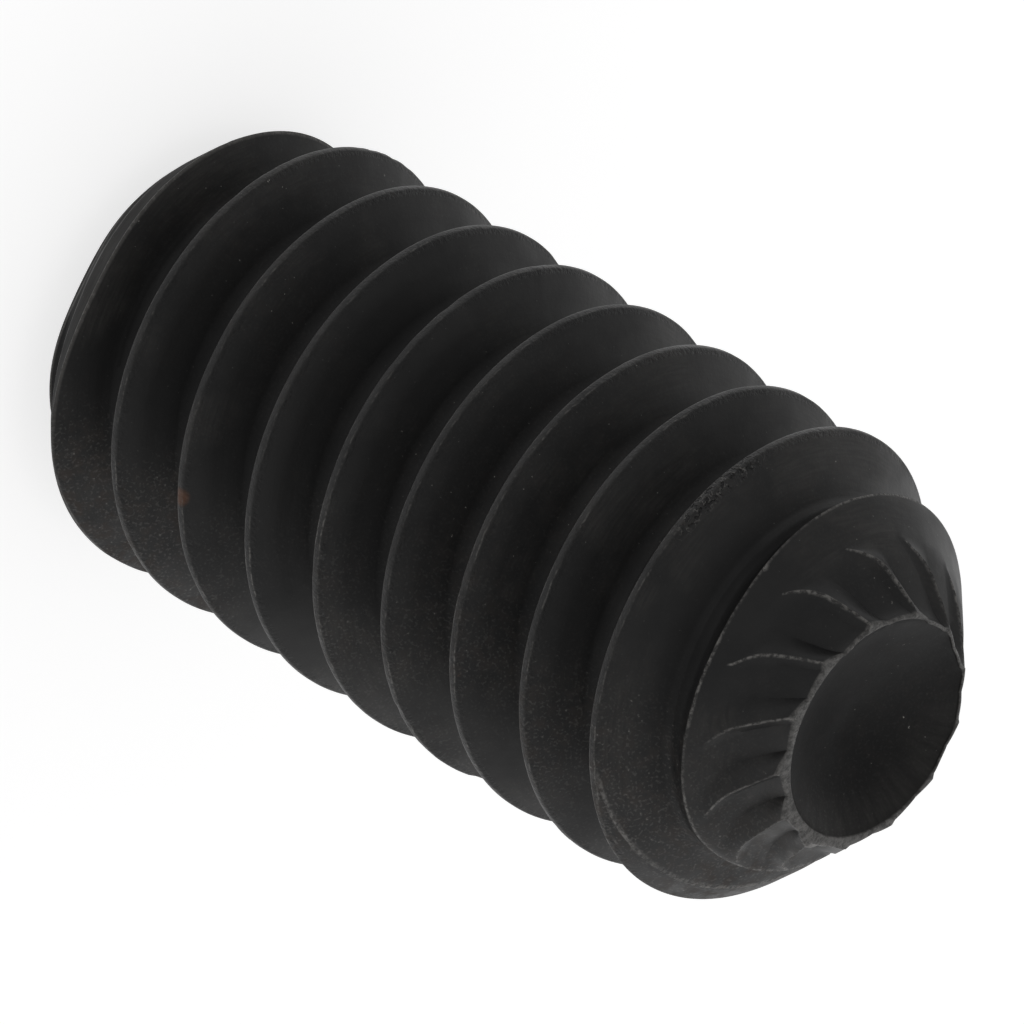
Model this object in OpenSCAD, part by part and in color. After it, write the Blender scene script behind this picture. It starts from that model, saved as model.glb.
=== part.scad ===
// Grub set screw with a knurled cup point and a hexagon socket, 1/4-20 thread, 1/2 inch long, in millimetres.
// The socket end rests on z = 0, the axis is Z, and the cup opens upward.

/* [Thread] */
// Outer diameter over the crests of the thread
thread_d = 6.25; // [5.9:0.05:6.5]
// Rise of the thread in one turn
thread_pitch = 1.27; // [1.1:0.01:1.5]
// Depth of the groove, from crest to root
thread_depth = 0.76; // [0.6:0.02:0.84]
// Width of the flat along the crest
crest_flat = 0.09; // [0.06:0.01:0.2]
// Height of the corner that is taken off each side of the crest
crest_round = 0.05; // [0.03:0.01:0.08]
// Angle between the two flanks of the groove
flank_angle = 60; // [56:1:62]
// Height of the lowest whole crest on the +X side
first_crest = 0.67; // [0:0.01:1.2]

/* [Body] */
// Length from the socket end to the rim of the cup
screw_length = 12.7; // [10:0.1:16]

/* [Socket end] */
// Diameter of the flat end face around the socket
end_face_d = 4.6; // [4.2:0.1:5.2]
// Angle between the end chamfer and the axis
end_chamfer_angle = 45; // [35:1:55]
// Width of the hexagon socket across its flats
hex_width = 3.175; // [2.8:0.025:3.4]
// Depth of the hexagon socket
hex_depth = 4; // [2.5:0.1:5]
// Full angle of the drilled cone below the hexagon
drill_angle = 118; // [100:1:130]

/* [Point] */
// Outer diameter of the rim around the cup
rim_d = 3.2; // [3:0.05:3.6]
// Angle between the cone of the point and the axis
point_angle = 43; // [40:1:50]
// Diameter of the cup at its rim
cup_d = 2.84; // [2.4:0.02:2.9]
// Full angle of the cone inside the cup
cup_angle = 136; // [110:1:140]

/* [Knurl] */
// Number of teeth around the point
tooth_count = 13; // [9:1:16]
// Depth of the groove between two teeth at the rim, square to the cone
tooth_depth = 0.08; // [0.06:0.02:0.2]
// Angle by which the groove gets deeper, away from the rim
tooth_dip = 7; // [0:1:12]
// Width of the groove where it meets the rim
tooth_gap = 0.6; // [0.4:0.02:0.66]
// Place of the groove's deepest line, as a part of its width
deep_share = 0.58; // [0.3:0.02:0.7]
// Length of the groove, down the cone from the rim
tooth_length = 0.95; // [0.6:0.05:1.1]
// Lean of the teeth, away from the line down the cone
tooth_lean = 30; // [0:1:35]
// Angle around the axis of the first groove's deepest line, at the rim
first_groove = 30; // [0:1:40]

/* [Smoothness] */
// Facets in one turn of the thread
turn_steps = 40; // [24:4:48]

/* [Hidden] */
$fn = 96;

thread_r = thread_d / 2;
root_r = thread_r - thread_depth;
rim_r = rim_d / 2;
flank_run = (thread_depth - crest_round) * tan(flank_angle / 2);
root_flat = thread_pitch - crest_flat - 2 * crest_round - 2 * flank_run;
hex_corner_d = hex_width / cos(30);
drill_depth = hex_width / 2 / tan(drill_angle / 2);
cup_depth = cup_d / 2 / tan(cup_angle / 2);
cut_margin = 0.5;

// One turn's profile, from the middle of a crest up to the next one: [height, radius] pairs
profile = [
    [-crest_flat / 2, thread_r],
    [crest_flat / 2, thread_r],
    [crest_flat / 2 + crest_round, thread_r - crest_round],
    [crest_flat / 2 + crest_round + flank_run, root_r],
    [crest_flat / 2 + crest_round + flank_run + root_flat, root_r],
    [thread_pitch - crest_flat / 2 - crest_round, thread_r - crest_round]
];
profile_points = len(profile);
start_turn = -2;
end_turn = ceil((screw_length - first_crest) / thread_pitch) + 1;
stations = (end_turn - start_turn) * turn_steps;

function height(i, j) = first_crest + thread_pitch * (start_turn + i / turn_steps) + profile[j][0];
function place(i, j) = [
    profile[j][1] * cos(360 * i / turn_steps),
    profile[j][1] * sin(360 * i / turn_steps),
    height(i, j)
];

// Number of the point j along station i, where the next turn's first point follows the last of this one
function at(i, j) = j < profile_points ? i * profile_points + j : (i + turn_steps) * profile_points;

module helix() {
    surface_stations = stations - turn_steps;
    lower_centre = stations * profile_points;
    upper_centre = lower_centre + 1;
    points = concat(
        [for (i = [0:stations - 1]) for (j = [0:profile_points - 1]) place(i, j)],
        [[0, 0, height(0, 0)], [0, 0, height(stations - 1, 0)]]
    );
    sides = [for (i = [0:surface_stations - 2]) for (j = [0:profile_points - 1]) each [
        [at(i, j), at(i + 1, j + 1), at(i + 1, j)],
        [at(i, j), at(i, j + 1), at(i + 1, j + 1)]
    ]];
    lower_rim = concat(
        [for (i = [0:turn_steps]) at(i, 0)],
        [for (j = [profile_points - 1:-1:1]) at(0, j)]
    );
    last = surface_stations - 1;
    upper_rim = concat(
        [for (i = [0:turn_steps]) at(last + i, 0)],
        [for (j = [profile_points - 1:-1:1]) at(last, j)]
    );
    lower = [for (k = [0:len(lower_rim) - 1]) [lower_centre, lower_rim[k], lower_rim[(k + 1) % len(lower_rim)]]];
    upper = [for (k = [0:len(upper_rim) - 1]) [upper_centre, upper_rim[(k + 1) % len(upper_rim)], upper_rim[k]]];
    polyhedron(points, concat(sides, lower, upper), convexity = 10);
}

// Everything that the finished screw may fill: both end planes, the chamfer of the socket end and the point's cone
module envelope() {
    outer_r = thread_r + cut_margin;
    chamfer_height = (outer_r - end_face_d / 2) / tan(end_chamfer_angle);
    cone_height = (outer_r - rim_r) / tan(point_angle);
    rotate_extrude()
        polygon([
            [0, 0],
            [end_face_d / 2, 0],
            [outer_r, chamfer_height],
            [outer_r, screw_length - cone_height],
            [rim_r, screw_length],
            [0, screw_length]
        ]);
}

module socket() {
    translate([0, 0, -cut_margin])
        cylinder(d = hex_corner_d, h = hex_depth + cut_margin, $fn = 6);
    translate([0, 0, hex_depth])
        cylinder(d1 = hex_width, d2 = 0, h = drill_depth);
}

module cup() {
    spread = 1 + cut_margin / cup_depth;
    translate([0, 0, screw_length - cup_depth])
        cylinder(d1 = 0, d2 = cup_d * spread, h = cup_depth * spread);
}

// One groove between two teeth: a three-sided prism that lies on the cone and leans around the axis
module tooth_groove() {
    rise = 1 + cut_margin / tooth_depth;
    before = tooth_gap * deep_share;
    after = tooth_gap - before;
    translate([rim_r, 0, screw_length])
        rotate([0, 180 - point_angle, 0])
            rotate([-tooth_lean, tooth_dip, 0])
                linear_extrude(tooth_length)
                    polygon([
                        [tooth_depth, 0],
                        [-cut_margin, -before * rise],
                        [-cut_margin, after * rise]
                    ]);
}

module set_screw() {
    color([0.13, 0.13, 0.14])
        difference() {
            intersection() {
                helix();
                envelope();
            }
            socket();
            cup();
            for (k = [0:tooth_count - 1])
                rotate([0, 0, first_groove + 360 * k / tooth_count])
                    tooth_groove();
        }
}

set_screw();
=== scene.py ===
import math
from types import SimpleNamespace
import bpy
import bmesh
from mathutils import Matrix, Vector, noise


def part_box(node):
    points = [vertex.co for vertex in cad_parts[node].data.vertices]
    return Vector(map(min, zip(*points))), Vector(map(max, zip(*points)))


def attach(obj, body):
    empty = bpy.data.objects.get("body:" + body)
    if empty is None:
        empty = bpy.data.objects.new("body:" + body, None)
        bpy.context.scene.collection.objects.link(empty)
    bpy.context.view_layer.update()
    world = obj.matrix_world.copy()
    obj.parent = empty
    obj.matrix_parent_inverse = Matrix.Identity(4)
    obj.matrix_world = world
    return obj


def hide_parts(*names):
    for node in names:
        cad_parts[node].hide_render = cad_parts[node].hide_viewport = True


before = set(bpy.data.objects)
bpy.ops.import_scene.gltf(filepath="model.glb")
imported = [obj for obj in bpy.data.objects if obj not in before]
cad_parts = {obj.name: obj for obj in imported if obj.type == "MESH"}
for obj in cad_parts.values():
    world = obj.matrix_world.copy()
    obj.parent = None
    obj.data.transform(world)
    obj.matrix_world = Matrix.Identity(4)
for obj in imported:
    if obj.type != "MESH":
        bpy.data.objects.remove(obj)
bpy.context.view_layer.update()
nodeLow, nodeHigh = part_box("set_screw")
mm = 0.001
fullTurn = 2 * math.pi
tiny = 1e-4                     # differences below this are rounding
onPlane = 2e-4                  # what bisect leaves beside its plane still counts as on it

# the screw, in millimetres and degrees; its length and diameter come from the frame
screwSize = {
    "length": (nodeHigh.z - nodeLow.z) / mm,
    "crestRadius": (nodeHigh.x - nodeLow.x) / 2 / mm,
    "pitch": 1.27,
    "threadDepth": 0.76,
    "crestFlat": 0.05,
    "crestRound": 0.045,        # radius of the corners along the crest
    "rootRound": 0.22,          # radius in the bottom of the groove
    "flankAngle": 60.0,
    "firstCrest": 0.67,         # height of the lowest crest on the +X side
    "lastGroove": 0.12,         # extra depth where the last groove runs out
    "lastGrooveStart": 65.0,    # angle round the axis where that begins
    "lastGrooveReach": 35.0,    # how much further round it is whole
    "lastGrooveHeight": 11.2,
    "lastGrooveRise": 0.4,
    "lipShift": 0.14,           # how far the last groove's upper side stands back, at the most
    "lipShiftAngle": 5.0,
    "lipShiftReach": 42.0,
    "lipShiftRise": 0.12,       # part of a pitch over which it sets in
    "columnsPerTooth": 24,      # columns of the mesh, counted for each tooth of the point
    "endRows": 2,               # extra rows between two rows, near the ends
    "endMargin": 0.1,           # how far the finer rows reach past the ends' edges
    "nickDepth": 0.035,         # how far the knocks on the crest go in
    "nickReach": 0.08,          # how far below the crest they begin
}
pointSize = {
    "rimRadius": 1.6,
    "coneAngle": 42.5,          # between the cone and the axis
    "edgeRound": 0.03,          # softness of the edges where the thread meets the cone
    "rimShift": 0.045,          # the rim is a little wider on one side
    "rimShiftAngle": 120.0,
    "rimShiftReach": 0.35,
    "leastRadius": 0.3,
    "teeth": 13,
    "ridgeColumn": 30,          # column that one ridge follows, at the knurl's outer end
    "ridgeEnd": 0.97,           # part of the knurl's length along which a ridge is worn
    "lean": 28.5,
    "curl": 4.5,                # how far a ridge bends round, near its outer end
    "curlMore": 6.0,            # what the uneven pressing adds, away from curlAngle
    "curlAngle": 40.0,
    "curlStart": 0.6,
    "knurlRadius": 2.27,        # outer end of the knurl
    "innerRadius": 1.4,         # the lean goes on to here, inside the rim
    "grooveDepth": 0.2,
    "rimDepth": 0.11,
    "rimReach": 0.4,            # part of the knurl's length over which the rim's depth fades
    "farSideLess": 0.85,        # how much shallower the grooves reach the rim on the far side
    "depthSpread": 0.12,        # how much the grooves differ in depth
    "depthStep": 2.4,
    "dropShare": 1 / 12,        # the quick drop behind a ridge, across the groove
    "dropDepth": 0.6,
    "deepShare": 7 / 12,        # place of the deepest line, across the groove
    "backCurve": 1.1,           # above 1, the slow side of a groove bulges a little
    "scoopStart": 0.55,         # where the outer end of a groove begins to rise
    "burrAngle": 104.0,         # a lump of metal pushed out beside the rim
    "burrWidth": 6.0,
    "burrHeight": 12.52,
    "burrReach": 0.08,
    "burrSize": 0.1,
}
cupSize = {
    "radius": 1.47,
    "depth": 0.56,
    "bowl": 1.5,                # 1 is a plain cone, 2 a round bowl
    "edgeRound": 0.03,
    "rings": 20,
    "firstRing": 0.15,          # place of the first ring, in rings from the edge
    "ringGap": 0.004,           # least distance between two rings
    "tipX": -0.12,
    "tipY": 0.18,
    "sideX": -0.09,
    "sideY": -0.04,
}
socketSize = {
    "faceRadius": 2.4,
    "chamferAngle": 40.0,
    "chamferDip": 0.13,         # the chamfer is a little deeper on one side
    "chamferDipAngle": 8.0,
    "chamferDipReach": 24.0,
    "edgeRound": 0.03,
    "wornBand": 0.02,           # width of the band inside the face's edge that is still worn
    "hexWidth": 3.175,
    "mouthRound": 0.06,         # softness of the hexagon's mouth
    "depth": 4.0,
    "drillAngle": 118.0,
}

crestR = screwSize["crestRadius"]
rootR = crestR - screwSize["threadDepth"]
screwL = screwSize["length"]
pitch = screwSize["pitch"]
columns = screwSize["columnsPerTooth"] * pointSize["teeth"]
coneAngle = math.radians(pointSize["coneAngle"])
coneSlope = math.tan(coneAngle)


def newPiece(name):
    bpy.ops.object.select_all(action="DESELECT")
    bpy.ops.mesh.primitive_plane_add(size=1)
    piece = bpy.context.object
    piece.name = name
    return piece


def pickOnly(piece):
    bpy.ops.object.select_all(action="DESELECT")
    bpy.context.view_layer.objects.active = piece
    piece.select_set(True)


def editMode(piece):
    pickOnly(piece)
    bpy.ops.object.mode_set(mode="EDIT")


def applyModifier(piece, kind, **settings):
    bpy.context.view_layer.objects.active = piece
    bpy.ops.object.modifier_add(type=kind)
    modifier = piece.modifiers[-1]
    for key, value in settings.items():
        setattr(modifier, key, value)
    bpy.ops.object.modifier_apply(modifier=modifier.name)


def smooth(t):
    t = max(0.0, min(1.0, t))
    return t * t * (3 - 2 * t)


def softMin(a, b, width):
    t = max(0.0, min(1.0, 0.5 + 0.5 * (b - a) / width))
    return b + (a - b) * t - width * t * (1 - t)


# the thread's outline

def halfOutline():
    # from the middle of a crest to the middle of the root: pairs of height and radius
    s = screwSize
    turn = math.radians(90 - s["flankAngle"] / 2)
    slope = math.tan(math.radians(s["flankAngle"] / 2))
    points = [(0.0, crestR)]
    for share in (0, 0.5, 1):
        a = turn * share
        points.append((s["crestFlat"] / 2 + s["crestRound"] * math.sin(a),
                       crestR - s["crestRound"] * (1 - math.cos(a))))
    topH, topR = points[-1]
    endR = rootR + s["rootRound"] * (1 - math.cos(turn))
    endH = topH + (topR - endR) * slope
    points.append(((topH + endH) / 2, (topR + endR) / 2))
    centreH = endH + s["rootRound"] * math.sin(turn)
    for share in (1, 0.5, 0):
        a = turn * share
        points.append((centreH - s["rootRound"] * math.sin(a), rootR + s["rootRound"] * (1 - math.cos(a))))
    points.append((pitch / 2, rootR))
    return points


outline = halfOutline()


def outlineRadius(h):
    h = abs(h)
    for (h0, r0), (h1, r1) in zip(outline, outline[1:]):
        if h <= h1:
            return r0 + (r1 - r0) * (h - h0) / (h1 - h0)
    return rootR


def turnHelix():
    # one pitch of the outline, drawn point by point, then turned up the axis
    piece = newPiece("grubScrew")
    editMode(piece)
    whole = [(-h, r) for h, r in reversed(outline[1:])] + outline
    startHeight = screwSize["firstCrest"] - 2 * pitch
    bpy.ops.mesh.select_all(action="SELECT")
    bpy.ops.mesh.merge(type="CENTER")
    bpy.ops.transform.translate(value=(whole[0][1], 0, whole[0][0] + startHeight))
    for (h0, r0), (h1, r1) in zip(whole, whole[1:]):
        bpy.ops.mesh.extrude_region_move(TRANSFORM_OT_translate={"value": (r1 - r0, 0, h1 - h0)})
    bpy.ops.object.mode_set(mode="OBJECT")
    turns = math.ceil((screwL - startHeight) / pitch) + 1
    applyModifier(piece, "SCREW", axis="Z", angle=fullTurn, screw_offset=pitch, iterations=turns,
                  steps=columns, render_steps=columns)
    editMode(piece)
    bpy.ops.mesh.select_all(action="SELECT")
    bpy.ops.mesh.remove_doubles(threshold=tiny)
    bpy.ops.object.mode_set(mode="OBJECT")
    return piece


# both ends: a chamfer and a cone limit the thread, and the knurl is pressed into the cone

def threadRadius(angle, z):
    s = screwSize
    degrees = math.degrees(angle)
    turns = (z - s["firstCrest"]) / pitch - angle / fullTurn
    lastCrest = round((screwL - s["firstCrest"]) / pitch)
    aside = (degrees - s["lipShiftAngle"]) / s["lipShiftReach"]
    shift = s["lipShift"] / pitch * math.exp(-aside ** 2)
    turns -= shift * smooth((turns - lastCrest + 0.5) / s["lipShiftRise"])
    radius = outlineRadius((turns - round(turns)) * pitch)
    runOut = smooth((degrees - s["lastGrooveStart"]) / s["lastGrooveReach"])
    runOut *= smooth((z - s["lastGrooveHeight"]) / s["lastGrooveRise"])
    return radius - s["lastGroove"] * runOut * (crestR - radius) / s["threadDepth"]


def plainCone(z):
    return pointSize["rimRadius"] + (screwL - z) * coneSlope


def alongKnurl(z):
    # 0 at the rim, 1 at the knurl's outer end
    p = pointSize
    return (screwL - z) * coneSlope / (p["knurlRadius"] - p["rimRadius"])


def unevenShare(column):
    # 0 where the knurl was pressed evenly, 1 all over the far side
    return min(1.0, 1 - math.cos(column - math.radians(pointSize["curlAngle"])))


def twist(column, z):
    # a ridge keeps a steady angle to the line down the cone, and curls more near its outer end
    p = pointSize
    radius = max(p["innerRadius"], min(p["knurlRadius"], plainCone(z)))
    lean = math.tan(math.radians(p["lean"])) / math.sin(coneAngle) * math.log(p["knurlRadius"] / radius)
    curl = math.radians(p["curl"] + p["curlMore"] * unevenShare(column))
    bent = max(0.0, min(1.0, (alongKnurl(z) - p["curlStart"]) / (1 - p["curlStart"])))
    return -lean - curl * (1 - bent * bent)


def acrossTooth(column):
    # the tooth's number, and the place across it: 0 on its ridge, 1 on the next
    ridge = fullTurn * pointSize["ridgeColumn"] / columns
    tooth = (column - ridge) / fullTurn * pointSize["teeth"]
    number = math.floor(tooth + tiny)
    return number, max(0.0, tooth - number)


def knurlDepth(column, z):
    p = pointSize
    along = max(0.0, alongKnurl(z))
    if along > 1:
        return 0.0
    number, across = acrossTooth(column)
    atRim = p["rimDepth"] * (1 - p["farSideLess"] * unevenShare(column))
    depth = p["grooveDepth"] - (p["grooveDepth"] - atRim) * max(0.0, 1 - along / p["rimReach"]) ** 2
    depth *= 1 + p["depthSpread"] * math.sin(number * p["depthStep"])
    depth *= 1 - max(0.0, (along - p["scoopStart"]) / (1 - p["scoopStart"])) ** 2
    if across < p["dropShare"]:
        return depth * p["dropDepth"] * across / p["dropShare"]
    if across < p["deepShare"]:
        floor = (across - p["dropShare"]) / (p["deepShare"] - p["dropShare"])
        return depth * (p["dropDepth"] + (1 - p["dropDepth"]) * floor)
    return depth * ((1 - across) / (1 - p["deepShare"])) ** p["backCurve"]


def coneRadius(column, angle, z):
    p = pointSize
    shift = p["rimShift"] * math.cos(angle - math.radians(p["rimShiftAngle"]))
    shift *= math.exp(-max(0.0, screwL - z) / p["rimShiftReach"])
    aside = (math.degrees(angle) - p["burrAngle"]) / p["burrWidth"]
    above = (z - p["burrHeight"]) / p["burrReach"]
    burr = p["burrSize"] * math.exp(-aside ** 2 - above ** 2)
    depth = knurlDepth(column, z) / math.cos(coneAngle)
    return max(p["leastRadius"], plainCone(z) + shift + burr - depth)


# where a column runs at an end: its angle, the thread's radius and the radius that the end allows

def atPoint(column, z):
    angle = column + twist(column, z)
    angle -= fullTurn * round(angle / fullTurn)
    return angle, threadRadius(angle, z), coneRadius(column, angle, z)


def atSocketEnd(column, z):
    s = socketSize
    aside = (math.degrees(column) - s["chamferDipAngle"]) / s["chamferDipReach"]
    dip = s["chamferDip"] * math.exp(-aside ** 2)
    chamfer = s["faceRadius"] - dip + z * math.tan(math.radians(s["chamferAngle"]))
    return column, threadRadius(column, z), chamfer


def beyondEdge(place, column, z):
    thread, limit = place(column, z)[1:]
    return limit - thread


def crossingHeight(place, column, low, high):
    lowSide = beyondEdge(place, column, low) > 0
    for halving in range(14):
        middle = (low + high) / 2
        if (beyondEdge(place, column, middle) > 0) == lowSide:
            low = middle
        else:
            high = middle
    return (low + high) / 2


def shapeColumn(vertices, column, place, soft, ridgeMark, edgeMark):
    # every edge gets a vertex of its own in each column, so that it stays crisp
    vertices.sort(key=lambda vertex: vertex.co.z)
    heights = [vertex.co.z for vertex in vertices]
    sides = [beyondEdge(place, column, z) > 0 for z in heights]
    for i in range(len(heights) - 1):
        if sides[i] != sides[i + 1]:
            crossing = crossingHeight(place, column, heights[i], heights[i + 1])
            nearest = i if crossing - heights[i] < heights[i + 1] - crossing else i + 1
            heights[nearest] = crossing
    onRidge = place is atPoint and acrossTooth(column)[1] < 0.01
    span, leastChange = 0.01, 0.3
    for vertex, z in zip(vertices, heights):
        angle, thread, limit = place(column, z)
        radius = softMin(thread, limit, soft)
        vertex.co = (radius * math.cos(angle), radius * math.sin(angle), z)
        if onRidge and alongKnurl(z) < pointSize["ridgeEnd"] and thread > limit:
            ridgeMark.data[vertex.index].value = 1.0
        # the height from here to the edge, so that its worn line is equally wide all round
        change = (beyondEdge(place, column, z + span) - beyondEdge(place, column, z - span)) / (2 * span)
        edgeMark.data[vertex.index].value = (limit - thread) / max(leastChange, abs(change))


def knockCrests(piece):
    # small knocks along the crest, from handling: close ones, in broad patches
    depth, reach = screwSize["nickDepth"], screwSize["nickReach"]
    for vertex in piece.data.vertices:
        radius = math.hypot(vertex.co.x, vertex.co.y)
        height = (radius - crestR + reach) / reach
        if height > 0:
            broad = max(0.0, noise.noise(vertex.co * 0.9) - 0.15)
            close = max(0.0, 0.4 + 1.5 * noise.noise(vertex.co * 5.0))
            inward = 1 - depth * height * broad * close / radius
            vertex.co.x *= inward
            vertex.co.y *= inward


def addEndRows(piece, bottom, top):
    margin = screwSize["endMargin"]
    editMode(piece)
    # edges alone are selected, or those between the columns would be cut as well
    bpy.ops.mesh.select_mode(type="EDGE")
    bpy.ops.mesh.select_all(action="DESELECT")
    mesh = bmesh.from_edit_mesh(piece.data)
    for edge in mesh.edges:
        a, b = edge.verts[0].co, edge.verts[1].co
        upright = abs(math.atan2(a.x * b.y - a.y * b.x, a.x * b.x + a.y * b.y)) < tiny
        middle = (a.z + b.z) / 2
        if upright and (top < middle < screwL + margin or -margin < middle < bottom):
            edge.select_set(True)
    bmesh.update_edit_mesh(piece.data)
    bpy.ops.mesh.subdivide(number_cuts=screwSize["endRows"], smoothness=0)
    bpy.ops.mesh.select_mode(type="VERT")
    bpy.ops.object.mode_set(mode="OBJECT")


def shapeEnds(piece):
    margin = screwSize["endMargin"]
    top = screwL - (crestR - pointSize["rimRadius"]) / coneSlope - margin
    chamferWidth = crestR - socketSize["faceRadius"] + socketSize["chamferDip"]
    bottom = chamferWidth / math.tan(math.radians(socketSize["chamferAngle"])) + 2 * margin
    addEndRows(piece, bottom, top)
    # the finish reads these: 1 on a ridge of the knurl, and the distance to an end's edge
    ridgeMark = piece.data.attributes.new("ridge", "FLOAT", "POINT")
    edgeMark = piece.data.attributes.new("edge", "FLOAT", "POINT")
    groups = {}
    for vertex in piece.data.vertices:
        x, y, z = vertex.co
        edgeMark.data[vertex.index].value = 1.0
        if z > top or z < bottom:
            number = round(math.atan2(y, x) / fullTurn * columns) % columns
            groups.setdefault((number, z > top), []).append(vertex)
    for (number, isPoint), vertices in groups.items():
        column = fullTurn * number / columns
        column -= fullTurn * round(column / fullTurn)
        if isPoint:
            shapeColumn(vertices, column, atPoint, pointSize["edgeRound"], ridgeMark, edgeMark)
        else:
            shapeColumn(vertices, column, atSocketEnd, socketSize["edgeRound"], ridgeMark, edgeMark)
    knockCrests(piece)


def selectOpening(mesh, height):
    bpy.ops.mesh.select_all(action="DESELECT")
    for edge in mesh.edges:
        if edge.is_boundary and all(abs(v.co.z - height) < onPlane for v in edge.verts):
            edge.select_set(True)


def cutEnd(piece, height, outward, turned):
    editMode(piece)
    bpy.ops.mesh.select_all(action="SELECT")
    bpy.ops.mesh.bisect(plane_co=(0, 0, height), plane_no=(0, 0, outward), clear_outer=True)
    mesh = bmesh.from_edit_mesh(piece.data)
    # the cut leaves extra points between the columns; each goes to the column beside it
    columnsHere = {}
    for vertex in mesh.verts:
        if vertex.is_boundary and abs(vertex.co.z - height) < onPlane:
            angle = math.atan2(vertex.co.y, vertex.co.x)
            column = angle
            # the twist depends on the column a little, so it is taken off again and again
            for attempt in range(4):
                column = angle - turned(column, height)
            place = column / fullTurn * columns
            columnsHere.setdefault(round(place) % columns, []).append((abs(place - round(place)), vertex))
    targets = {}
    for group in columnsHere.values():
        group.sort(key=lambda pair: pair[0])
        nearest = group[0][1]
        for pair in group[1:]:
            targets[pair[1]] = nearest
    bmesh.ops.weld_verts(mesh, targetmap=targets)
    selectOpening(mesh, height)
    bmesh.update_edit_mesh(piece.data)


def nextRing(piece, z, newRadius):
    # the opening's edge is drawn on, to a height and to a radius for each angle and old radius
    bpy.ops.mesh.extrude_edges_move()
    mesh = bmesh.from_edit_mesh(piece.data)
    for vertex in mesh.verts:
        if vertex.select:
            angle = math.atan2(vertex.co.y, vertex.co.x)
            radius = newRadius(angle, math.hypot(vertex.co.x, vertex.co.y))
            vertex.co = (radius * math.cos(angle), radius * math.sin(angle), z)
    bmesh.update_edit_mesh(piece.data)


def cupRadius(angle):
    return cupSize["radius"] + cupSize["sideX"] * math.cos(angle) + cupSize["sideY"] * math.sin(angle)


def markCup(piece):
    c = cupSize
    edge = c["edgeRound"]
    mesh = bmesh.from_edit_mesh(piece.data)
    ridgeMark, edgeMark = mesh.verts.layers.float["ridge"], mesh.verts.layers.float["edge"]
    cupMark = mesh.verts.layers.float.new("inCup")
    for vertex in mesh.verts:
        angle = math.atan2(vertex.co.y, vertex.co.x)
        deep = (screwL - edge - vertex.co.z) / c["depth"]
        radius = math.hypot(vertex.co.x, vertex.co.y)
        if deep < 1.01 and radius < cupRadius(angle) + 2 * edge:
            vertex[ridgeMark], vertex[edgeMark] = 0.0, 1.0
        if -0.01 < deep < 1.01 and radius < cupRadius(angle):
            vertex[cupMark] = 0.1 + deep
            # the punch stood a little aside, so the deepest point isn't on the axis
            vertex.co.x += c["tipX"] * max(0.0, deep)
            vertex.co.y += c["tipY"] * max(0.0, deep)
    bmesh.update_edit_mesh(piece.data)


def closeCup(piece):
    c = cupSize
    edge, gap = c["edgeRound"], c["ringGap"]
    cutEnd(piece, screwL - edge, 1, twist)
    nextRing(piece, screwL - 0.3 * edge, lambda a, r: r - 0.3 * edge)
    nextRing(piece, screwL, lambda a, r: r - 0.7 * edge)
    # the rim gets so thin on the far side that the rings must keep inside each other
    nextRing(piece, screwL, lambda a, r: min(cupRadius(a) + edge, r - gap))
    nextRing(piece, screwL - 0.25 * edge, lambda a, r: min(cupRadius(a) + 0.3 * edge, r - 2.5 * gap))
    for i in range(c["rings"]):
        left = 1 - (i + c["firstRing"]) / c["rings"]
        depth = c["depth"] * (1 - left ** c["bowl"])
        nextRing(piece, screwL - edge - depth, lambda a, r: min(cupRadius(a) * left, r - gap))
    bpy.ops.mesh.merge(type="CENTER")
    markCup(piece)
    bpy.ops.object.mode_set(mode="OBJECT")


def hexRadius(angle):
    sector = math.radians(60)
    inSector = (angle + sector / 2) % sector - sector / 2
    return socketSize["hexWidth"] / 2 / math.cos(sector / 2 - abs(inSector))


def closeSocket(piece):
    s = socketSize
    apothem, mouth, depth = s["hexWidth"] / 2, s["mouthRound"], s["depth"]
    cone = apothem / math.tan(math.radians(s["drillAngle"] / 2))
    cutEnd(piece, 0, -1, lambda column, z: 0)
    nextRing(piece, 0, lambda a, r: r - s["wornBand"])
    # the worn line stays on the rim, and what is drawn inwards from this ring has none
    mesh = bmesh.from_edit_mesh(piece.data)
    edgeMark = mesh.verts.layers.float["edge"]
    for vertex in mesh.verts:
        if vertex.select:
            vertex[edgeMark] = 1.0
    nextRing(piece, 0, lambda a, r: hexRadius(a) + mouth)
    nextRing(piece, mouth / 3, lambda a, r: hexRadius(a) + mouth / 6)
    nextRing(piece, mouth, lambda a, r: hexRadius(a))
    nextRing(piece, depth, lambda a, r: hexRadius(a))
    for share in (1, 0.5, 0.1):
        nextRing(piece, depth + cone * (1 - share), lambda a, r: apothem * share)
    bpy.ops.mesh.merge(type="CENTER")
    bpy.ops.mesh.select_all(action="SELECT")
    bpy.ops.mesh.normals_make_consistent(inside=False)
    bpy.ops.object.mode_set(mode="OBJECT")


def toMetres(piece):
    pickOnly(piece)
    piece.scale = (mm, mm, mm)
    bpy.ops.object.transform_apply(location=True, rotation=True, scale=True)
    bpy.ops.object.shade_smooth_by_angle(angle=math.radians(31))


def buildScrew():
    piece = turnHelix()
    print("helix", len(piece.data.polygons), "faces")
    shapeEnds(piece)
    print("point and chamfer shaped")
    closeCup(piece)
    closeSocket(piece)
    print("cup and socket closed")
    toMetres(piece)
    piece.data.calc_loop_triangles()
    print("screw", len(piece.data.loop_triangles), "triangles")
    return piece


# the finish

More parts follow.
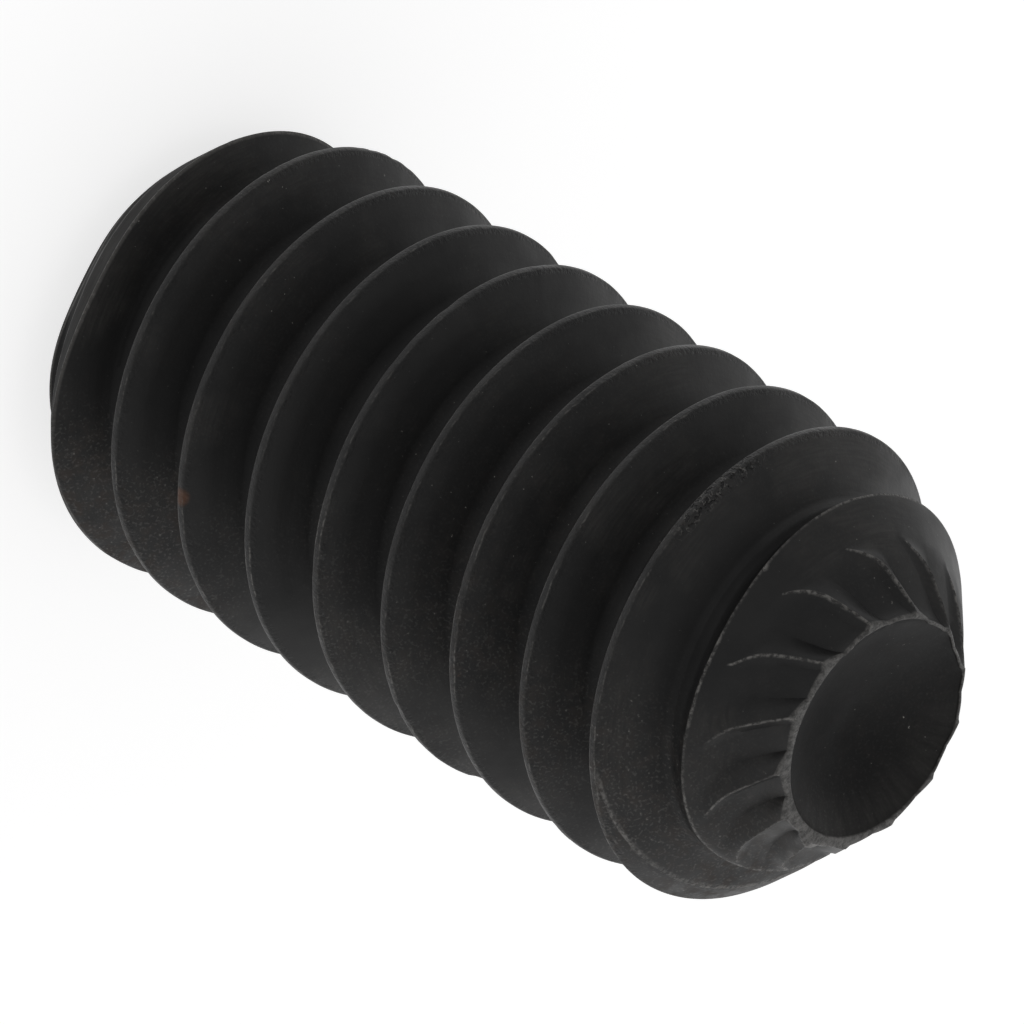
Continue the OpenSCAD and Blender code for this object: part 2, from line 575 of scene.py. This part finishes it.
oxideLook = {
    "colour": (0.0125, 0.0122, 0.0122, 1),
    "patchColour": (0.0085, 0.0085, 0.0088, 1),
    "cloudColour": (0.029, 0.0275, 0.026, 1),
    # painted shade: the dark colour laid into the cup and the bottom of the groove; the pits get it too
    "shadeAndPitColour": (0.0035, 0.0035, 0.0037, 1),
    "dustColour": (0.045, 0.036, 0.031, 1),
    "rustColour": (0.075, 0.032, 0.016, 1),
    "wornColour": (0.16, 0.154, 0.146, 1),
    "speckColour": (0.3, 0.29, 0.27, 1),
    "rimColour": (0.125, 0.121, 0.116, 1),
    "cloudShare": 0.85,         # how much each layer hides of the colour below it
    # the next two set how strong the painted shade is in the cup and in the bottom of the groove
    "cupShadeShare": 0.75,
    "rootShadeShare": 0.55,
    "dustShare": 0.75,
    "rustShare": 0.7,
    "burrShare": 0.8,
    "scratchShare": 0.85,
    "pitShare": 0.9,
    "gritShare": 0.3,
    "rimSpeckShare": 0.8,
    "fineScale": 15000,         # the noises; a larger number is finer
    "grainScale": 5600,
    "patchScale": 950,
    "cloudScale": 620,
    "broadScale": 300,
    "dotScale": 26000,
    "pitScale": 10500,
    "rustScale": 2300,
    "wanderScale": 3400,
    "gapScale": 2100,
    "roughness": 0.46,
    "dustRoughness": 0.2,       # added where dust lies
    "chamferRoughness": 0.3,
    "specular": 0.3,
    "dullSpecular": 0.17,
    "edgeLineWidth": 0.032,
    "crestLineAt": 0.04,        # millimetres from the middle of the crest
    "crestLineWidth": 0.016,
    "crestLineWander": 0.05,
    "grainBump": 0.16,
    "pitBump": 0.8,
}
# single marks: the place of each, and how far it reaches, in millimetres
marks = {
    "pitted": ((2.62, -1.5, 10.86), 0.95),
    "rust": ((2.43, 1.97, 3.35), 0.16),
    "lipChip": ((2.32, -1.03, 11.68), 0.11),
    "rimSpeck": ((1.14, -0.72, 12.66), 0.05),
    "burr": ((-0.42, 1.68, 12.52), 0.32),
}


class Weave:
    # short names for the nodes of one material
    def __init__(self, material):
        material.use_nodes = True
        self.nodes, self.links = material.node_tree.nodes, material.node_tree.links
        self.shader = self.nodes["Principled BSDF"]

    def put(self, socket, value):
        if isinstance(value, bpy.types.NodeSocket):
            self.links.new(value, socket)
        else:
            socket.default_value = value

    def math(self, operation, a, b=0.0):
        node = self.nodes.new("ShaderNodeMath")
        node.operation = operation
        for socket, value in zip(node.inputs, (a, b)):
            self.put(socket, value)
        return node.outputs[0]

    def chain(self, operation, values):
        result = values[0]
        for value in values[1:]:
            result = self.math(operation, result, value)
        return result

    def add(self, *values):
        return self.chain("ADD", values)

    def multiply(self, *values):
        return self.chain("MULTIPLY", values)

    def highest(self, *values):
        return self.chain("MAXIMUM", values)

    def noise(self, vector, scale, detail, rough):
        node = self.nodes.new("ShaderNodeTexNoise")
        self.put(node.inputs["Vector"], vector)
        node.inputs["Scale"].default_value = scale
        node.inputs["Detail"].default_value = detail
        node.inputs["Roughness"].default_value = rough
        return node.outputs["Fac"]

    def attribute(self, name):
        node = self.nodes.new("ShaderNodeAttribute")
        node.attribute_name = name
        return node.outputs["Fac"]

    def step(self, value, low, high, toLow=0.0, toHigh=1.0):
        node = self.nodes.new("ShaderNodeMapRange")
        node.interpolation_type = "SMOOTHSTEP"
        self.put(node.inputs["Value"], value)
        node.inputs["From Min"].default_value = low
        node.inputs["From Max"].default_value = high
        node.inputs["To Min"].default_value = toLow
        node.inputs["To Max"].default_value = toHigh
        return node.outputs["Result"]

    def mix(self, share, a, b):
        node = self.nodes.new("ShaderNodeMix")
        node.data_type = "RGBA"
        self.put(node.inputs[0], share)
        self.put(node.inputs[6], a)
        self.put(node.inputs[7], b)
        return node.outputs[2]

    def combine(self, x, y, z):
        node = self.nodes.new("ShaderNodeCombineXYZ")
        for socket, value in zip(node.inputs, (x, y, z)):
            self.put(socket, value)
        return node.outputs[0]

    def near(self, place, mark):
        # 1 in the middle of a mark, and 0 past its reach
        spot, reach = mark
        node = self.nodes.new("ShaderNodeVectorMath")
        node.operation = "DISTANCE"
        self.put(node.inputs[0], place)
        node.inputs[1].default_value = [value * mm for value in spot]
        return self.step(node.outputs["Value"], reach * mm, reach * mm * 0.45)

    def bump(self, height, strength, distance, under=None):
        node = self.nodes.new("ShaderNodeBump")
        self.put(node.inputs["Strength"], strength)
        node.inputs["Distance"].default_value = distance
        self.put(node.inputs["Height"], height)
        if under is not None:
            self.put(node.inputs["Normal"], under)
        return node.outputs[0]


def readPlaces(w):
    at = SimpleNamespace()
    at.place = w.nodes.new("ShaderNodeTexCoord").outputs["Object"]
    parts = w.nodes.new("ShaderNodeSeparateXYZ")
    w.put(parts.inputs[0], at.place)
    at.x, at.y, z = parts.outputs
    axisDistance = w.math("SQRT", w.add(w.multiply(at.x, at.x), w.multiply(at.y, at.y)))
    at.aroundX = w.math("DIVIDE", at.x, axisDistance)
    at.aroundY = w.math("DIVIDE", at.y, axisDistance)
    # from here on in millimetres
    at.radius = w.math("DIVIDE", axisDistance, mm)
    at.height = w.math("DIVIDE", z, mm)
    at.downwards = w.math("DIVIDE", at.y, mm)
    # distance from the middle of the crest, along the axis
    turn = w.math("DIVIDE", w.math("ARCTAN2", at.y, at.x), fullTurn)
    turns = w.math("DIVIDE", w.math("SUBTRACT", at.height, screwSize["firstCrest"]), pitch)
    phase = w.math("FRACT", w.add(w.math("SUBTRACT", turns, turn), 0.5))
    at.offset = w.math("ABSOLUTE", w.multiply(w.math("SUBTRACT", phase, 0.5), pitch))
    return at


def spreadNoises(w, at):
    look = oxideLook
    n = SimpleNamespace()
    n.fine = w.noise(at.place, look["fineScale"], 4, 0.62)
    n.grain = w.noise(at.place, look["grainScale"], 3, 0.55)
    n.patches = w.noise(at.place, look["patchScale"], 3, 0.6)
    n.clouds = w.noise(at.place, look["cloudScale"], 4, 0.65)
    n.broad = w.noise(at.place, look["broadScale"], 2, 0.5)
    n.dots = w.noise(at.place, look["dotScale"], 1, 0.4)
    n.pits = w.noise(at.place, look["pitScale"], 2, 0.5)
    n.rust = w.noise(at.place, look["rustScale"], 3, 0.6)
    n.wander = w.noise(at.place, look["wanderScale"], 3, 0.6)
    n.gaps = w.noise(at.place, look["gapScale"], 3, 0.65)
    # marks that run round the screw, as the tool left them, and marks across the cup
    turned = w.combine(w.multiply(at.aroundX, 7), w.multiply(at.aroundY, 7), w.multiply(at.radius, 30))
    n.drawn = w.noise(turned, 1.0, 3, 0.6)
    combed = w.combine(w.multiply(at.aroundX, 13), w.multiply(at.aroundY, 13), w.multiply(at.height, 3))
    n.streaks = w.noise(combed, 1.0, 3, 0.6)
    return n


def findAreas(w, at):
    # each area is 1 in its own part of the surface and fades beside it, but cupDeep grows down the cup
    area = SimpleNamespace()
    area.cupDeep = w.attribute("inCup")
    area.cup = w.step(area.cupDeep, 0.0, 0.1)
    area.rim = w.multiply(w.step(at.height, screwL - 0.05, screwL - 0.02), w.step(area.cupDeep, 0.1, 0.0))
    area.crest = w.step(at.radius, crestR - 0.09, crestR - 0.05)
    fromEdge = w.attribute("edge")
    endEdge = w.multiply(w.step(w.math("ABSOLUTE", fromEdge), oxideLook["edgeLineWidth"], 0.006),
                         w.step(at.radius, crestR - 0.02, crestR - 0.1, 0.4, 1.0))
    area.edge = w.highest(w.step(w.attribute("ridge"), 0.25, 0.9), endEdge)
    # the bottom of the groove is darkened with painted shade and made dull, and the chamfer of the socket
    # end is as dull
    area.root = w.multiply(w.step(at.offset, 0.25, 0.6), w.step(at.radius, rootR - 0.08, rootR - 0.02),
                           w.step(fromEdge, -0.02, 0.02))
    area.chamfer = w.multiply(w.step(fromEdge, 0.0, -0.04), w.step(at.height, 1.2, 1.1))
    # dust and rust are on the side that was turned down
    area.dusty = w.step(at.downwards, 0.3, 3.0, 0.12, 1.0)
    area.pitted = w.multiply(w.near(at.place, marks["pitted"]), w.step(at.offset, 0.15, 0.08),
                             w.step(at.radius, crestR - 0.2, crestR - 0.12))
    area.burr = w.near(at.place, marks["burr"])
    return area


def wornPlaces(w, at, n, area):
    look = oxideLook
    # the two worn lines along the crest wander, break off and start again
    wander = w.multiply(w.math("SUBTRACT", n.wander, 0.5), look["crestLineWander"])
    aside = w.math("ABSOLUTE", w.math("SUBTRACT", w.add(at.offset, wander), look["crestLineAt"]))
    gaps = w.step(n.gaps, 0.42, 0.58, 0.08, 1.0)
    lowSide = w.step(at.downwards, 0.0, 2.5, 0.45, 1.0)
    crestLine = w.multiply(w.step(aside, look["crestLineWidth"], 0.002), area.crest, gaps, lowSide)
    # the chamfer's edge is worn more evenly than the others
    broken = w.multiply(w.step(n.fine, 0.4, 0.62, 0.12, 1.0), w.step(n.patches, 0.34, 0.6, 0.22, 1.0))
    steady = w.step(at.height, 1.4, 1.3, 0.0, 0.5)
    lines = w.multiply(w.highest(crestLine, area.edge), w.highest(broken, steady))
    pitEdges = w.multiply(area.pitted, w.step(n.pits, 0.45, 0.49), w.step(n.pits, 0.54, 0.51))
    return w.highest(lines, w.multiply(pitEdges, w.step(n.fine, 0.45, 0.6), 0.8),
                     w.multiply(w.near(at.place, marks["lipChip"]), w.step(n.fine, 0.4, 0.5)))


def oxideColour(w, at, n, area, dust, worn):
    look = oxideLook
    clouds = w.multiply(w.step(n.clouds, 0.46, 0.68), w.step(n.drawn, 0.3, 0.7, 0.25, 1.0))
    # painted shade: the cup and the bottom of the groove are darkened where shade falls in them
    paintedShade = w.highest(w.multiply(area.cup, look["cupShadeShare"]), w.multiply(area.root, look["rootShadeShare"]))
    rustSpots = w.multiply(w.step(n.rust, 0.66, 0.76), area.dusty, area.crest)
    rust = w.highest(w.near(at.place, marks["rust"]), w.multiply(rustSpots, look["rustShare"]))
    rim = w.multiply(area.rim, w.step(n.fine, 0.35, 0.65, 0.3, 1.0))
    # the wall of the cup is scratched near its edge, on the far side
    nearCupEdge = w.multiply(area.cup, w.step(area.cupDeep, 0.75, 0.15))
    farSide = w.step(w.math("SUBTRACT", at.y, at.x), -0.6 * mm, 1.6 * mm)
    scratches = w.multiply(nearCupEdge, w.step(n.streaks, 0.3, 0.75, 0.3, 1.0), farSide)
    pits = w.multiply(area.pitted, w.step(n.pits, 0.52, 0.58))
    # grit catches the light on the dusty side
    grit = w.multiply(w.step(n.dots, 0.52, 0.74), area.dusty, w.step(n.broad, 0.35, 0.6))
    specks = w.multiply(w.step(n.dots, 0.79, 0.81), w.step(n.broad, 0.45, 0.65, 0.1, 0.8))
    rimSpeck = w.multiply(w.near(at.place, marks["rimSpeck"]), look["rimSpeckShare"])
    layers = (
        (w.multiply(clouds, look["cloudShare"]), "cloudColour"),
        (paintedShade, "shadeAndPitColour"),
        (w.multiply(dust, look["dustShare"]), "dustColour"),
        (rust, "rustColour"),
        (rim, "rimColour"),
        (w.multiply(area.burr, look["burrShare"]), "wornColour"),
        (w.multiply(scratches, look["scratchShare"]), "cloudColour"),
        (w.multiply(pits, look["pitShare"]), "shadeAndPitColour"),
        (w.multiply(grit, look["gritShare"]), "wornColour"),
        (worn, "wornColour"),
        (w.highest(specks, rimSpeck), "speckColour"),
    )
    colour = w.mix(w.step(n.patches, 0.35, 0.7), look["colour"], look["patchColour"])
    for share, name in layers:
        colour = w.mix(share, colour, look[name])
    return colour


def oxideRelief(w, n, area):
    look = oxideLook
    relief = w.add(w.multiply(n.fine, 0.35), w.multiply(n.grain, 0.45), w.multiply(n.drawn, 0.3))
    surface = w.bump(relief, look["grainBump"], 0.00003)
    edges = w.highest(w.multiply(area.crest, 0.6), area.edge, area.rim, area.burr, area.pitted)
    surface = w.bump(n.fine, w.multiply(edges, look["pitBump"]), 0.00004, surface)
    return w.bump(w.step(n.pits, 0.6, 0.48), w.multiply(area.pitted, 0.9), 0.00006, surface)


def blackOxide():
    material = bpy.data.materials.new("blackOxide")
    w = Weave(material)
    look = oxideLook
    at = readPlaces(w)
    n = spreadNoises(w, at)
    area = findAreas(w, at)
    dust = w.multiply(w.step(n.broad, 0.4, 0.7), w.step(n.grain, 0.42, 0.66), area.dusty)
    worn = wornPlaces(w, at, n, area)
    w.put(w.shader.inputs["Base Color"], oxideColour(w, at, n, area, dust, worn))

    roughness = w.step(n.patches, 0.2, 0.8, look["roughness"] - 0.06, look["roughness"] + 0.1)
    duller = w.add(w.multiply(dust, look["dustRoughness"]),
                   w.multiply(area.chamfer, look["chamferRoughness"]))
    w.put(w.shader.inputs["Roughness"], w.add(roughness, duller))
    dull = w.highest(area.cup, area.root, area.chamfer)
    w.put(w.shader.inputs["Specular IOR Level"], w.step(dull, 0, 1, look["specular"], look["dullSpecular"]))
    w.put(w.shader.inputs["Normal"], oxideRelief(w, n, area))
    return material


# the studio

shot = {
    "aim": (0.000280106, -0.0000155454, 0.00635),
    "elevation": 37.95186,
    "azimuth": 0.0,             # from the +X side
    "roll": 120.8962,           # lays the standing screw over as the photo shows it
    "distance": 0.16773883,
    "lens": 468.9057,
    "sensor": 36,
}
studio = {
    "floorSize": 3.0,
    "floorColour": (0.5, 0.5, 0.5, 1),
    "floorRoughness": 0.9,
    "floorGlow": 0.72,
    "backLight": 1.0,
    "frontLight": 0.5,
    "dimSide": 35.0,            # degrees from the camera to the middle of the dim side
    "dimTurn": 28.0,            # towards the picture's upper right
    "dimUntil": -0.7,           # the light grows between these two, from the dim side to its opposite
    "brightFrom": 0.5,
}


def viewDirection():
    el, az = math.radians(shot["elevation"]), math.radians(shot["azimuth"])
    return Vector((math.cos(el) * math.cos(az), math.cos(el) * math.sin(az), math.sin(el)))


def cameraTurn():
    level = (-viewDirection()).to_track_quat("-Z", "Y").to_matrix()
    return level @ Matrix.Rotation(math.radians(shot["roll"]), 3, "Z")


def placeCamera():
    data = bpy.data.cameras.new("camera")
    camera = bpy.data.objects.new("camera", data)
    bpy.context.scene.collection.objects.link(camera)
    camera.location = Vector(shot["aim"]) + viewDirection() * shot["distance"]
    camera.rotation_euler = cameraTurn().to_euler()
    data.lens = shot["lens"]
    data.sensor_width = shot["sensor"]
    data.clip_start = 0.01
    data.clip_end = 20
    bpy.context.scene.camera = camera


def layFloor():
    bpy.ops.object.select_all(action="DESELECT")
    bpy.ops.mesh.primitive_plane_add(size=studio["floorSize"])
    floor = bpy.context.object
    floor.name = "floor"
    material = bpy.data.materials.new("paleFloor")
    w = Weave(material)
    w.shader.inputs["Base Color"].default_value = studio["floorColour"]
    w.shader.inputs["Roughness"].default_value = studio["floorRoughness"]
    # white to the eye and in reflections, without lighting the screw
    path = w.nodes.new("ShaderNodeLightPath")
    seen = w.highest(path.outputs["Is Camera Ray"], path.outputs["Is Glossy Ray"])
    w.shader.inputs["Emission Color"].default_value = (1, 1, 1, 1)
    w.put(w.shader.inputs["Emission Strength"], w.multiply(seen, studio["floorGlow"]))
    floor.data.materials.append(material)


def lightStudio():
    world = bpy.data.worlds.new("studio")
    bpy.context.scene.world = world
    world.use_nodes = True
    nodes, links = world.node_tree.nodes, world.node_tree.links
    background = nodes["Background"]
    coordinates = nodes.new("ShaderNodeTexCoord")
    away, turned = math.radians(studio["dimSide"]), math.radians(studio["dimTurn"])
    dimSide = cameraTurn() @ Vector((math.sin(away) * math.cos(turned), math.sin(away) * math.sin(turned),
                                     math.cos(away)))
    dot = nodes.new("ShaderNodeVectorMath")
    dot.operation = "DOT_PRODUCT"
    dot.inputs[1].default_value = -dimSide
    links.new(coordinates.outputs["Generated"], dot.inputs[0])
    ramp = nodes.new("ShaderNodeMapRange")
    ramp.interpolation_type = "SMOOTHSTEP"
    ramp.inputs["From Min"].default_value = studio["dimUntil"]
    ramp.inputs["From Max"].default_value = studio["brightFrom"]
    ramp.inputs["To Min"].default_value = studio["frontLight"]
    ramp.inputs["To Max"].default_value = studio["backLight"]
    links.new(dot.outputs["Value"], ramp.inputs["Value"])
    links.new(ramp.outputs["Result"], background.inputs["Strength"])
    background.inputs["Color"].default_value = (1, 1, 1, 1)


placeCamera()
layFloor()
lightStudio()
print("studio set")

screw = buildScrew()
screw.data.materials.clear()
screw.data.materials.append(blackOxide())
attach(screw, "root")
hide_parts("set_screw")
print("finish on")

bpy.context.scene.view_settings.view_transform = "Standard"
